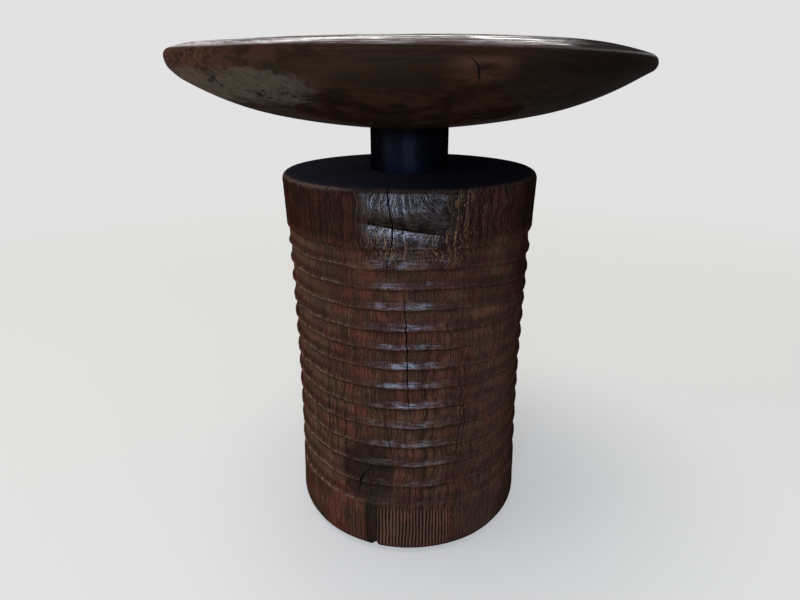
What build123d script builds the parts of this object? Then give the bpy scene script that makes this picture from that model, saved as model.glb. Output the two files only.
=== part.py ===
"""Drum table: a thick lens-shaped wooden top on a short steel neck, clamped to a
hollow carved log drum by one threaded rod. Millimetres, +Z up, origin on the floor
under the drum's axis."""

import math
import os

from build123d import *

os.makedirs("parts", exist_ok=True)

# ---------------------------------------------------------------- driving dimensions
# drum: one log, carved outside with coves that meet at crests, and hollowed from below
drum_height = 432.0  # floor to the flat face of the drum's head
drum_waist_radius = 140.0  # crests half way up
drum_flare = 4.2  # how much wider the head and the foot are than the waist
drum_lip_round = 7.0
drum_foot_round = 13.5
head_band_height = 58.0  # plain band above the coves
foot_band_height = 68.0  # plain band below the coves
cove_count = 13
cove_depth = 3.0
cove_low_flank = 7.0  # height of a cove's lower flank, which looks up and out
cove_high_flank = 4.5  # height of a cove's upper flank, which looks down and out
hollow_radius = 104.0
hollow_corner_chamfer = 20.0
head_thickness = 65.0

# top: one turned disc, flat above and swelling like a lens below
top_radius = 248.0
top_thickness = 83.0
top_shoulder_width = 71.0  # from the flat face out to the widest line
top_shoulder_drop = 18.4  # from the flat face down to the widest line
belly_knee = (0.59, 0.243)  # where the belly's arcs meet: share of its radius, of its depth
rim_knee_low = (4.5, 8.3)  # where the rim's lower round starts: in from it, below it
rim_round = 8.2  # radius of the rim's upper round, which runs on into the shoulder

# neck: steel tube let into the drum's head and into the top
neck_radius = 44.0
neck_wall = 3.0
neck_rise = 45.0  # gap between the drum's head and the lowest point of the top
neck_seat_low = 6.0  # depth of its seat in the drum's head
neck_seat_high = 10.0  # depth of its seat in the top
neck_edge_chamfer = 0.6

# tie rod and its nuts
rod_radius = 8.0
rod_edge_chamfer = 1.2
rod_spare_high = 3.0  # thread standing past the anchor nut
rod_spare_low = 8.0  # thread standing past the clamp nut
nut_across_flats = 24.0
nut_height = 13.0
nut_corner_chamfer = 1.2
nut_pocket_clearance = 1.5
clamp_plate_radius = 45.0
clamp_plate_thickness = 6.0
clamp_plate_chamfer = 0.8
lock_washer_radius = 13.6
lock_washer_thickness = 4.0
lock_washer_slit = 2.5

# discs that centre the neck, and the wood screws that hold them
anchor_plate_thickness = 8.0
locating_disc_thickness = 8.0
disc_edge_chamfer = 0.8
anchor_screw_count = 6
locating_screw_count = 4
screw_circle_radius = 28.0
screw_head_radius = 4.8
screw_shank_radius = 2.4
screw_tip_length = 6.0
anchor_screw_length = 45.0
locating_screw_length = 40.0
screw_recess_radius = 1.6
screw_recess_depth = 2.0

# nail-on glides under the foot
glide_count = 4
glide_radius = 12.0
glide_thickness = 5.0
glide_stand = 1.5  # how far a glide stands out of its pocket
glide_edge_chamfer = 1.0
nail_radius = 1.3
nail_head_radius = 3.6
nail_head_thickness = 1.2
nail_length = 20.0
nail_head_z = 1.8  # how far the head is sunk above the floor

# named clearances
seat_clearance = 0.3  # tube in wood, disc in tube, glide in its pocket
rod_clearance = 0.8  # rod in wood and in plates
thread_clearance = 0.1  # rod in nut, screw and nail in wood
tip_clearance = 2.0  # air past the end of a screw, a nail or the rod

# ------------------------------------------------------------------ derived heights
drum_base_z = glide_stand
top_belly_z = drum_height + neck_rise
top_face_z = top_belly_z + top_thickness
top_rim_z = top_face_z - top_shoulder_drop
neck_low_z = drum_height - neck_seat_low
neck_high_z = top_belly_z + neck_seat_high
hollow_ceiling_z = drum_height - head_thickness
clamp_plate_z = hollow_ceiling_z - clamp_plate_thickness
lock_washer_z = clamp_plate_z - lock_washer_thickness
clamp_nut_z = lock_washer_z - nut_height
rod_low_z = clamp_nut_z - rod_spare_low
anchor_nut_z = neck_high_z
rod_high_z = anchor_nut_z + nut_height + rod_spare_high
anchor_plate_z = neck_high_z - anchor_plate_thickness
locating_disc_z = neck_low_z

# ------------------------------------------------------------------- derived radii
neck_seat_radius = neck_radius + seat_clearance
neck_bore_radius = neck_radius - neck_wall
disc_radius = neck_bore_radius - seat_clearance
rod_hole_radius = rod_radius + rod_clearance
nut_bore_radius = rod_radius + thread_clearance
nut_corner_radius = nut_across_flats / 2 / math.cos(math.radians(30))
nut_pocket_radius = nut_corner_radius + nut_pocket_clearance
screw_hole_radius = screw_shank_radius + thread_clearance
nail_hole_radius = nail_radius + thread_clearance
glide_pocket_radius = glide_radius + seat_clearance
glide_pocket_depth = glide_thickness - glide_stand
nail_tip_z = nail_head_z + nail_length


def drum_radius(height):
    """Radius of the carved outline's crests: narrowest half way up."""
    middle = (drum_height + drum_base_z) / 2
    half = (drum_height - drum_base_z) / 2
    return drum_waist_radius + drum_flare * ((height - middle) / half) ** 2


def crest_point(height):
    return (drum_radius(height), height)


def bed_point(height):
    """Point on the bed of a cove."""
    return (drum_radius(height) - cove_depth, height)


foot_round_z = drum_base_z + drum_foot_round
foot_edge = crest_point(foot_round_z)
foot_flat_radius = foot_edge[0] - drum_foot_round
lip_round_z = drum_height - drum_lip_round
lip_edge = crest_point(lip_round_z)
lip_flat_radius = lip_edge[0] - drum_lip_round
glide_circle_radius = (hollow_radius + foot_flat_radius) / 2
first_crest_z = drum_base_z + foot_band_height
last_crest_z = drum_height - head_band_height
cove_pitch = (last_crest_z - first_crest_z) / cove_count


# ---------------------------------------------------------------------- drum body
locating_pilot = locating_screw_length - locating_disc_thickness + tip_clearance
glide_angle = 180 / glide_count

with BuildPart() as drum_body:
    with BuildSketch(Plane.XZ):
        with BuildLine():
            Line((hollow_radius, drum_base_z), (foot_flat_radius, drum_base_z))
            RadiusArc((foot_flat_radius, drum_base_z), foot_edge, -drum_foot_round)
            Line(foot_edge, crest_point(first_crest_z))
            for cove in range(cove_count):
                low_z = first_crest_z + cove * cove_pitch
                high_z = low_z + cove_pitch
                Polyline(
                    crest_point(low_z),
                    bed_point(low_z + cove_low_flank),
                    bed_point(high_z - cove_high_flank),
                    crest_point(high_z),
                )
            Line(crest_point(last_crest_z), lip_edge)
            RadiusArc(lip_edge, (lip_flat_radius, drum_height), -drum_lip_round)
            Polyline(
                (lip_flat_radius, drum_height),
                (0, drum_height),
                (0, hollow_ceiling_z),
                (hollow_radius - hollow_corner_chamfer, hollow_ceiling_z),
                (hollow_radius, hollow_ceiling_z - hollow_corner_chamfer),
                (hollow_radius, drum_base_z),
            )
        make_face()
    revolve(axis=Axis.Z)
    # seat for the neck, and the rod's hole down through the head
    with Locations((0, 0, drum_height)):
        CounterBoreHole(
            rod_hole_radius, neck_seat_radius, neck_seat_low, head_thickness + tip_clearance
        )
    # pilot holes for the locating disc's screws
    with BuildSketch(Plane.XY.offset(neck_low_z)):
        with PolarLocations(screw_circle_radius, locating_screw_count):
            Circle(screw_hole_radius)
    extrude(amount=-locating_pilot, mode=Mode.SUBTRACT)
    # pockets for the glides, and pilot holes for their nails
    with BuildSketch(Plane.XY.offset(drum_base_z)):
        with PolarLocations(glide_circle_radius, glide_count, start_angle=glide_angle):
            Circle(glide_pocket_radius)
    extrude(amount=glide_pocket_depth, mode=Mode.SUBTRACT)
    with BuildSketch(Plane.XY.offset(drum_base_z)):
        with PolarLocations(glide_circle_radius, glide_count, start_angle=glide_angle):
            Circle(nail_hole_radius)
    extrude(amount=nail_tip_z - drum_base_z + tip_clearance, mode=Mode.SUBTRACT)
drum_body.part.label = "drum_body"
export_step(drum_body.part, "parts/drum_body.step")

# ---------------------------------------------------------------------- table top
belly_depth = top_rim_z - top_belly_z
shoulder_radius = top_radius - top_shoulder_width
belly_middle = (top_radius * belly_knee[0], top_belly_z + belly_depth * belly_knee[1])
rim_low = (top_radius - rim_knee_low[0], top_rim_z - rim_knee_low[1])
# the shoulder's arc is level where it meets the flat and tangent to the rim's round
shoulder_round = (
    (top_shoulder_width**2 + top_shoulder_drop**2 - 2 * top_shoulder_width * rim_round)
    / (top_shoulder_drop - rim_round)
    / 2
)
shoulder_centre_z = top_face_z - shoulder_round
shoulder_lean = math.atan2(top_shoulder_width - rim_round, top_rim_z - shoulder_centre_z)
rim_high = (
    shoulder_radius + shoulder_round * math.sin(shoulder_lean),
    shoulder_centre_z + shoulder_round * math.cos(shoulder_lean),
)
anchor_pilot = anchor_screw_length - anchor_plate_thickness + tip_clearance
rod_pocket_depth = nut_height + rod_spare_high + tip_clearance

with BuildPart() as table_top:
    with BuildSketch(Plane.XZ):
        with BuildLine():
            belly = TangentArc((0, top_belly_z), belly_middle, tangent=(1, 0))
            flare = TangentArc(belly_middle, rim_low, tangent=belly % 1)
            TangentArc(rim_low, (top_radius, top_rim_z), tangent=flare % 1)
            edge = TangentArc((top_radius, top_rim_z), rim_high, tangent=(0, 1))
            TangentArc(rim_high, (shoulder_radius, top_face_z), tangent=edge % 1)
            Polyline((shoulder_radius, top_face_z), (0, top_face_z), (0, top_belly_z))
        make_face()
    revolve(axis=Axis.Z)
    # seat for the neck's upper end
    with BuildSketch(Plane.XY.offset(top_belly_z)):
        Circle(neck_seat_radius)
    extrude(amount=neck_seat_high, mode=Mode.SUBTRACT)
    # pocket for the anchor nut and the end of the rod
    with BuildSketch(Plane.XY.offset(neck_high_z)):
        Circle(nut_pocket_radius)
    extrude(amount=rod_pocket_depth, mode=Mode.SUBTRACT)
    # pilot holes for the anchor plate's screws
    with BuildSketch(Plane.XY.offset(neck_high_z)):
        with PolarLocations(screw_circle_radius, anchor_screw_count):
            Circle(screw_hole_radius)
    extrude(amount=anchor_pilot, mode=Mode.SUBTRACT)
table_top.part.label = "table_top"
export_step(table_top.part, "parts/table_top.step")

# ---------------------------------------------------------------------- neck tube
with BuildPart() as neck_tube:
    with BuildSketch(Plane.XY.offset(neck_low_z)):
        Circle(neck_radius)
        Circle(neck_bore_radius, mode=Mode.SUBTRACT)
    extrude(amount=neck_high_z - neck_low_z)
    chamfer(neck_tube.edges().filter_by(GeomType.CIRCLE), neck_edge_chamfer)
neck_tube.part.label = "neck_tube"
export_step(neck_tube.part, "parts/neck_tube.step")


# ---------------------------------------------- plates screwed to the top and the head
sink_radius = screw_head_radius + thread_clearance

with BuildPart() as anchor_plate:
    with BuildSketch(Plane.XY.offset(anchor_plate_z)):
        Circle(disc_radius)
        Circle(rod_hole_radius, mode=Mode.SUBTRACT)
    extrude(amount=anchor_plate_thickness)
    low_rim = anchor_plate.edges().group_by(Axis.Z)[0].sort_by(SortBy.RADIUS)[-1]
    chamfer(low_rim, disc_edge_chamfer)
    with Locations(Location((0, 0, anchor_plate_z), (180, 0, 0))):
        with PolarLocations(screw_circle_radius, anchor_screw_count):
            CounterSinkHole(screw_hole_radius, sink_radius, anchor_plate_thickness, 90)
anchor_plate.part.label = "anchor_plate"
export_step(anchor_plate.part, "parts/anchor_plate.step")

with BuildPart() as locating_disc:
    with BuildSketch(Plane.XY.offset(locating_disc_z)):
        Circle(disc_radius)
        Circle(rod_hole_radius, mode=Mode.SUBTRACT)
    extrude(amount=locating_disc_thickness)
    high_rim = locating_disc.edges().group_by(Axis.Z)[-1].sort_by(SortBy.RADIUS)[-1]
    chamfer(high_rim, disc_edge_chamfer)
    with Locations((0, 0, locating_disc_z + locating_disc_thickness)):
        with PolarLocations(screw_circle_radius, locating_screw_count):
            CounterSinkHole(screw_hole_radius, sink_radius, locating_disc_thickness, 90)
locating_disc.part.label = "locating_disc"
export_step(locating_disc.part, "parts/locating_disc.step")


def wood_screw(length):
    """Countersunk screw, head down at Z = 0 and tip up."""
    head_depth = screw_head_radius - screw_shank_radius
    with BuildPart() as screw:
        with BuildSketch(Plane.XZ):
            Polygon(
                (0, 0),
                (screw_head_radius, 0),
                (screw_shank_radius, head_depth),
                (screw_shank_radius, length - screw_tip_length),
                (0, length),
                align=None,
            )
        revolve(axis=Axis.Z)
        with BuildSketch(Plane.XY):
            RegularPolygon(screw_recess_radius, 6)
        extrude(amount=screw_recess_depth, mode=Mode.SUBTRACT)
    return screw.part


anchor_screw = wood_screw(anchor_screw_length)
locating_screw = wood_screw(locating_screw_length)

with BuildPart() as anchor_screws:
    with Locations((0, 0, anchor_plate_z)):
        with PolarLocations(screw_circle_radius, anchor_screw_count):
            add(anchor_screw)
anchor_screws.part.label = "anchor_screws"
export_step(anchor_screws.part, "parts/anchor_screws.step")

with BuildPart() as locating_screws:
    with Locations((0, 0, locating_disc_z + locating_disc_thickness)):
        with PolarLocations(screw_circle_radius, locating_screw_count):
            add(locating_screw, rotation=(180, 0, 0))
locating_screws.part.label = "locating_screws"
export_step(locating_screws.part, "parts/locating_screws.step")


# -------------------------------------------------- tie rod, nuts and clamp washers
def hex_nut(base_z):
    """Hexagon nut with its corners turned off at both ends."""
    with BuildPart() as nut:
        with BuildSketch(Plane.XY.offset(base_z)):
            RegularPolygon(nut_across_flats / 2, 6, major_radius=False)
        extrude(amount=nut_height)
        with BuildSketch(Plane.XZ):
            Polygon(
                (0, base_z),
                (nut_across_flats / 2, base_z),
                (nut_corner_radius, base_z + nut_corner_chamfer),
                (nut_corner_radius, base_z + nut_height - nut_corner_chamfer),
                (nut_across_flats / 2, base_z + nut_height),
                (0, base_z + nut_height),
                align=None,
            )
        revolve(axis=Axis.Z, mode=Mode.INTERSECT)
        with BuildSketch(Plane.XY.offset(base_z)):
            Circle(nut_bore_radius)
        extrude(amount=nut_height, mode=Mode.SUBTRACT)
    return nut


anchor_nut = hex_nut(anchor_nut_z)
anchor_nut.part.label = "anchor_nut"
export_step(anchor_nut.part, "parts/anchor_nut.step")

clamp_nut = hex_nut(clamp_nut_z)
clamp_nut.part.label = "clamp_nut"
export_step(clamp_nut.part, "parts/clamp_nut.step")

with BuildPart() as tie_rod:
    with BuildSketch(Plane.XY.offset(rod_low_z)):
        Circle(rod_radius)
    extrude(amount=rod_high_z - rod_low_z)
    chamfer(tie_rod.edges().filter_by(GeomType.CIRCLE), rod_edge_chamfer)
tie_rod.part.label = "tie_rod"
export_step(tie_rod.part, "parts/tie_rod.step")

with BuildPart() as clamp_plate:
    with BuildSketch(Plane.XY.offset(clamp_plate_z)):
        Circle(clamp_plate_radius)
        Circle(rod_hole_radius, mode=Mode.SUBTRACT)
    extrude(amount=clamp_plate_thickness)
    plate_rim = clamp_plate.edges().group_by(Axis.Z)[0].sort_by(SortBy.RADIUS)[-1]
    chamfer(plate_rim, clamp_plate_chamfer)
clamp_plate.part.label = "clamp_plate"
export_step(clamp_plate.part, "parts/clamp_plate.step")

with BuildPart() as lock_washer:
    with BuildSketch(Plane.XY.offset(lock_washer_z)):
        Circle(lock_washer_radius)
        Circle(rod_hole_radius, mode=Mode.SUBTRACT)
        with Locations((lock_washer_radius / 2, 0)):
            Rectangle(lock_washer_radius, lock_washer_slit, mode=Mode.SUBTRACT)
    extrude(amount=lock_washer_thickness)
lock_washer.part.label = "lock_washer"
export_step(lock_washer.part, "parts/lock_washer.step")

# -------------------------------------------------------- glides and their nails
with BuildPart() as floor_glides:
    with BuildSketch(Plane.XY):
        with PolarLocations(glide_circle_radius, glide_count, start_angle=glide_angle):
            Circle(glide_radius)
            Circle(nail_hole_radius, mode=Mode.SUBTRACT)
    extrude(amount=glide_thickness)
    floor_rims = floor_glides.edges().group_by(Axis.Z)[0].filter_by(GeomType.CIRCLE)
    outer_rims = floor_rims.filter_by(lambda edge: edge.radius > nail_head_radius)
    chamfer(outer_rims, glide_edge_chamfer)
    with BuildSketch(Plane.XY):
        with PolarLocations(glide_circle_radius, glide_count, start_angle=glide_angle):
            Circle(nail_head_radius + thread_clearance)
    extrude(amount=nail_head_z + nail_head_thickness, mode=Mode.SUBTRACT)
floor_glides.part.label = "floor_glides"
export_step(floor_glides.part, "parts/floor_glides.step")

with BuildPart() as glide_nails:
    with BuildSketch(Plane.XY.offset(nail_head_z)):
        with PolarLocations(glide_circle_radius, glide_count, start_angle=glide_angle):
            Circle(nail_head_radius)
    extrude(amount=nail_head_thickness)
    with BuildSketch(Plane.XY.offset(nail_head_z)):
        with PolarLocations(glide_circle_radius, glide_count, start_angle=glide_angle):
            Circle(nail_radius)
    extrude(amount=nail_length)
glide_nails.part.label = "glide_nails"
export_step(glide_nails.part, "parts/glide_nails.step")
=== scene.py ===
# %% [markdown]
# # A ring-carved drum table
#
# The table is a thick turned top, shaped like a lens, on a short black steel
# neck. The neck stands on a log drum that is carved outside with thirteen
# shallow coves. The measured solids come in first as a fixed frame. This lesson
# then carves and turns the two wooden pieces in finer detail, makes every
# finish from nodes, and lights the table in a plain studio.

# %% Load the measured frame
import math
from functools import partialmethod

import bpy
import numpy as np
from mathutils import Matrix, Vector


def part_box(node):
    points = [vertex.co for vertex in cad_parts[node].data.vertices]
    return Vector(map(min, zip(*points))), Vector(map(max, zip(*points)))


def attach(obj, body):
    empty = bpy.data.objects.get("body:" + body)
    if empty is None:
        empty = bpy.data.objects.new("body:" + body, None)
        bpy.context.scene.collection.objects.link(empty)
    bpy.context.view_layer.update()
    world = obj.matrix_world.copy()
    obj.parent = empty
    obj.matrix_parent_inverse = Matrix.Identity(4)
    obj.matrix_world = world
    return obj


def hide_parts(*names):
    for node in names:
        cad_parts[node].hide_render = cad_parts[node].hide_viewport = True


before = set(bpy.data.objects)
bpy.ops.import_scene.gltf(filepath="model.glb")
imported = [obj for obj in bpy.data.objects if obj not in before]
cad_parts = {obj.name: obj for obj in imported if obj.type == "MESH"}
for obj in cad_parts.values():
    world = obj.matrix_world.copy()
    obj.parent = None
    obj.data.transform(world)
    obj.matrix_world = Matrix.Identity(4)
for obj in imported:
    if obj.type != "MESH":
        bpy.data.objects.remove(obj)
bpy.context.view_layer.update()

# %% [markdown]
# ## Millimetres
#
# A maker measures this table in millimetres, and Blender counts in metres. One
# small factor keeps the two apart, so every size below reads as it would on a
# workshop drawing.

# %% Sizes that the frame already knows
MM = 0.001

drum_low, drum_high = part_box("drum_body")
head_z, foot_z = drum_high.z / MM, drum_low.z / MM
top_face_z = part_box("table_top")[1].z / MM
neck_seat_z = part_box("neck_tube")[0].z / MM
glide_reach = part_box("floor_glides")[1].x / MM
print("drum", round(foot_z, 1), "to", round(head_z, 1), "mm, face at", round(top_face_z, 1), "mm")

# %% [markdown]
# ## Writing node trees as formulas
#
# Wood grain and tool marks are sums and products of a few noises. Wired by hand
# they become a web that nobody can read. The small class below lets a script
# write such a formula as it would write numbers: each plus or times adds one
# Math node. The same class serves Geometry Nodes and materials, because Math,
# Noise and Map Range exist in both.


# %% A value that can be written in a formula
class Field:
    """An output socket that takes part in formulas, one node for each step."""

    def __init__(self, tree, socket):
        self.tree = tree
        self.socket = socket

    def math(self, operation, *others):
        inputs = dict(enumerate((self, *others)))
        return add_node(self.tree, "ShaderNodeMath", inputs, operation=operation)

    __add__ = partialmethod(math, "ADD")
    __sub__ = partialmethod(math, "SUBTRACT")
    __mul__ = partialmethod(math, "MULTIPLY")
    __truediv__ = partialmethod(math, "DIVIDE")
    __pow__ = partialmethod(math, "POWER")
    smaller = partialmethod(math, "MINIMUM")
    larger = partialmethod(math, "MAXIMUM")

    def between(self, low, high, out_low=0, out_high=1, smooth=True):
        """Fades from out_low to out_high while the value goes from low to high."""
        inputs = dict(enumerate((self, low, high, out_low, out_high)))
        fade = "SMOOTHSTEP" if smooth else "LINEAR"
        return add_node(self.tree, "ShaderNodeMapRange", inputs, interpolation_type=fade)


def feed(place, value):
    """Gives a socket a number, a colour or the result of a formula."""
    if isinstance(value, Field):
        value.tree.links.new(value.socket, place)
    else:
        place.default_value = value


def add_node(tree, kind, inputs, out=0, **options):
    """Adds a node with its options and inputs, and gives one of its outputs."""
    node = tree.nodes.new(kind)
    for name, value in options.items():
        setattr(node, name, value)
    for place, value in inputs.items():
        feed(node.inputs[place], value)
    return Field(tree, node.outputs[out])


print("formulas ready")


# %% Points, noises and spots
def point(*values):
    """Joins three values into one vector."""
    tree = next(value.tree for value in values if isinstance(value, Field))
    return add_node(tree, "ShaderNodeCombineXYZ", dict(enumerate(values)))


def split(where):
    """The three coordinates of a vector."""
    node = where.tree.nodes.new("ShaderNodeSeparateXYZ")
    feed(node.inputs[0], where)
    return [Field(where.tree, out) for out in node.outputs]


def scaled(vector, factor):
    inputs = {0: vector, "Scale": factor}
    return add_node(vector.tree, "ShaderNodeVectorMath", inputs, operation="SCALE")


def noise(where, scale=1, detail=2, roughness=0.6, w=None):
    """Soft random value from 0 to 1, about 0.5 on average."""
    inputs = {"Vector": where, "Scale": scale, "Detail": detail, "Roughness": roughness}
    if w is not None:
        inputs["W"] = w
    size = "3D" if w is None else "4D"
    return add_node(where.tree, "ShaderNodeTexNoise", inputs, noise_dimensions=size)


def cells(where, scale=1):
    """Distance to the nearest of many scattered points, like the hollows left by a gouge."""
    inputs = {"Vector": where, "Scale": scale}
    return add_node(where.tree, "ShaderNodeTexVoronoi", inputs, "Distance")


def oval(x, z, at_x, at_z, half_width, half_height):
    """Squared distance from a spot on the front: 0 in its middle and 1 on its edge."""
    return ((x - at_x) / half_width) ** 2 + ((z - at_z) / half_height) ** 2


print("points, noises and spots ready")

# %% [markdown]
# ## Materials, one section each
#
# A material is a node tree behind a Principled shader. Wood is read in Object
# coordinates, so the growth rings run through the solid as they do in a real
# log, and a cut shows the right figure on every side. A finisher lays stain,
# smoke and dust over bare wood one after another, and so does `layered`.


# %% Start a material
def new_finish(name):
    """An empty material: its tree, its shader and the object point in millimetres."""
    made = bpy.data.materials.new(name)
    made.use_nodes = True
    tree = made.node_tree
    where = tree.nodes.new("ShaderNodeTexCoord").outputs["Object"]
    return made, tree, tree.nodes["Principled BSDF"], scaled(Field(tree, where), 1 / MM)


def blend(share, *colours):
    """Goes from one colour to the next as share goes from 0 to 1."""
    one, two = [c if isinstance(c, Field) else (*c, 1) for c in colours]
    inputs = {0: share, 6: one, 7: two}
    return add_node(share.tree, "ShaderNodeMix", inputs, 2, data_type="RGBA")


def layered(colour, *coats):
    """Lays coats over a colour; each has a share from 0 to 1 and a colour of its own."""
    for share, coat in coats:
        colour = blend(share, colour, coat)
    return colour


def dress(shader, colour, roughness, specular=0.5, coat=0, coat_roughness=0.03, **more):
    """Sets what a surface is made of, and its coat of wax or lacquer."""
    inputs = {"Base Color": colour, "Roughness": roughness, "Specular IOR Level": specular}
    inputs.update({"Coat Weight": coat, "Coat Roughness": coat_roughness}, **more)
    for place, value in inputs.items():
        feed(shader.inputs[place], value)


def relief(shader, height, depth, place="Normal"):
    """Bump for what is finer than the mesh; depth is in millimetres."""
    inputs = {"Distance": depth * MM, "Height": height}
    feed(shader.inputs[place], add_node(height.tree, "ShaderNodeBump", inputs))


def stored(tree, name):
    """A value that the mesh carries at its corners."""
    return add_node(tree, "ShaderNodeAttribute", {}, "Fac", attribute_name=name)


def facing(tree):
    """1 where a surface faces the eye, fading to 0 towards its outline."""
    weight = add_node(tree, "ShaderNodeLayerWeight", {"Blend": 0.5}, "Facing")
    return weight.between(0.68, 0.35)


print("material helpers ready")

# %% [markdown]
# ## The drum's wood
#
# The drum was cut beside the pith of a much thicker trunk, so its growth layers
# are thin sleeves that cross the wall at a slant. Seen from outside they are
# fine upright stripes, which bow sideways wherever a cove dips into them. The
# formula measures the distance to the pith, bends it with noise as a knotty
# log does, and reads a one-dimensional noise of that distance.

# %% Growth layers of the log
pith_x, pith_y = -230, 20

log_finish, tree, shader, where = new_finish("waxed_log_wood")
x, y, z = split(where)
front = y.between(0, -20)
curl, wax_and_flank_shade, crest_and_ledge_shade = (stored(tree, name) for name in ("curl", "wax_and_flank_shade", "crest_and_ledge_shade"))
knot = noise(where, 1 / 55, 2, 0.55)
wave = noise(point(x / 20, y / 20, z / 12), 1, 1, 0.5)
ripple = noise(point(x, y, z * 0.7), 1 / 7)
across = ((x - pith_x) ** 2 + (y - pith_y) ** 2) ** 0.5
# at the scoop the grain leans over to the right, as it does beside a knot
fan = x.between(-12, 18) * x.between(44, 26) * z.between(392, 402)
sleeve = across + (knot - 0.5) * 14 + (wave - 0.5) * 7 + (z - 415) * fan * 0.9
sleeve = sleeve + (ripple - 0.5) * (curl * 5.5 + 1)
layer = noise(point(sleeve, z * 0.003, 0), 1, 1, 0.5)
fibre = noise(point(x, y, z / 13), 1, 3)
pores = noise(point(x / 0.7, y / 0.7, z / 7), 1, 1, 0.5).between(0.38, 0.30)
ridge = layer.between(0.36, 0.58)
# below the head band the right side was scraped smooth, so its stripes are fainter
calm = x.between(25, 75) * z.between(392, 380)
tone = ridge * (calm * -0.35 + 0.7) + calm * 0.17 + (fibre - 0.5) * 1.1 + 0.16
warm = noise(point(x, y, z * 0.8), 1 / 24).between(0.40, 0.58)
early_wood = blend(warm, (0.013, 0.0068, 0.004), (0.016, 0.0050, 0.0036))
late_wood = blend(warm, (0.124, 0.061, 0.031), (0.163, 0.053, 0.032))
wood = blend(tone.between(0, 1, smooth=False), early_wood, late_wood)
print("grain of", log_finish.name, "has", len(tree.nodes), "nodes")

# %% [markdown]
# Smoke, stains, dust and painted shade lie over the grain. Each is a place with
# soft borders, a share and a colour: a dark stain round the knot at the front
# left with a run of it down the foot, reddish spots where the wood was scraped,
# dust in the hollows on the left, which are also painted lighter as the side the
# light falls on, painted shade on the flank below each crest, and painted shade
# that makes the head band under the top and the right side nearly black.

# %% Stains on the log
smoke = noise(point(x, y, z * 1.2), 1 / 33).between(0.60, 0.44)
spot = oval(x, z, -52, 108, 31, 40) + (knot - 0.5) * 2.4
run = oval(x, z, -42, 45, 9, 40) + (knot - 0.5) * 2
stain = spot.smaller(run).between(1.3, 0.6) * front
corner = z.between(68, 61) * x.between(42, 56) * front
heart = (oval(x, z, -93, 94, 24, 22) + (knot - 0.5) * 2).between(1.2, 0.5) * front
ember = oval(x, z, -48, 355, 16, 6).smaller(oval(x, z, 6, 357, 13, 5))
ember = ember.smaller(oval(x, z, 77, 301, 17, 7))
ember = (ember + (ripple - 0.5) * 2).between(1.2, 0.4) * front
# dust in the cove beds on the left, painted lighter there as the side the light falls on
dust_and_side_light = stored(tree, "dust_and_side_light") * x.between(-65, -125, 0.12, 1) * fibre.between(0.30, 0.62)
faded = x.between(45, 85) * z.between(335, 260) * fibre.between(0.35, 0.65)
# painted shade: the right side of the drum is darkened, away from the light
shaded_right_side = x.between(92, 138) * z.between(150, 300, 0.3, 0.6)
golden = (x.between(20, 60) + z.between(394, 388)).smaller(1)
gold = curl * golden * layer.between(0.52, 0.60) * fibre.between(0.44, 0.56)
wood = layered(
    wood,
    (pores * 0.7, (0.006, 0.003, 0.002)),
    (smoke * 0.40, (0.011, 0.0065, 0.0045)),
    (stain * 0.8, (0.0125, 0.009, 0.006)),
    (corner * 0.4, (0.020, 0.014, 0.009)),
    (heart * 0.4, (0.150, 0.052, 0.036)),
    (ember * 0.32, (0.220, 0.085, 0.042)),
    (dust_and_side_light * 0.5, (0.150, 0.098, 0.064)),
    (faded * 0.3, (0.150, 0.088, 0.056)),
    # painted shade: the waxed places, chiefly the up-facing flank below each crest, are darkened
    (wax_and_flank_shade * 0.42, (0.022, 0.0085, 0.006)),
    # painted shade: the head band under the overhanging top is darkened
    (z.between(372, 386) * 0.58, (0.006, 0.0025, 0.002)),
    (shaded_right_side, (0.007, 0.004, 0.003)),
    (curl * 0.32, (0.005, 0.0035, 0.003)),
    (gold * golden * 0.75, (0.30, 0.165, 0.070)),
)
print("stains laid,", len(tree.nodes), "nodes")

# %% [markdown]
# Hands and cloths wear the crests. Worn arrises show paler wood, most of all on
# the left, and a line of painted shade sits under each of them. The lip at the
# front left and the ledge of the scoop carry painted highlights, the ledge in
# short glints, and the cut above the ledge is painted dark as shade. The
# furrows of the foot have pale ridges and bottoms painted dark as shade, and
# the head's face is painted lighter on the left, where the light falls.

# %% Wear on the log
left = x.between(-40, -120)
burl = z.between(370, 374) * z.between(385, 382) * x.between(-80, -30) * front
plain = burl * x.between(112, 90) * -0.85 + 1
chipped = noise(where, 1 / 8).between(0.42, 0.56, 0.35, 1.15)
worn = stored(tree, "worn") * fibre.between(0.36, 0.60) * (left * 0.84 + 0.14) * plain * chipped
# painted highlight: a pale line along the head's lip, strongest at the front left, laid in with the
# wear
lip = z.between(428.5, 429.5) * z.between(431.8, 430.9) * (x.between(-50, -75) * 1.2 + 0.25)
worn = worn.larger(lip * fibre.between(0.40, 0.60) * 0.6)
above_ledge = z + x * 0.147 - 392.1
# painted highlight: short pale glints just under the ledge of the scoop, which the wax also marks
glint = noise(point(x / 4.5, y / 4.5, z / 1.6)).between(0.47, 0.55)
glint = glint * curl * above_ledge.between(-8, -3) * above_ledge.between(0.6, -0.6)
glint = glint * x.between(-43, -36) * x.between(24, -10, 0.3, 1) * x.between(36, 26)
comb = stored(tree, "furrow")
# painted shade: a dark line under each crest and in the cut above the ledge
painted_shade = crest_and_ledge_shade * plain * x.between(30, 80, 0.95, 0.55) * fibre.between(0.62, 0.46, 0.35, 1)
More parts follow.
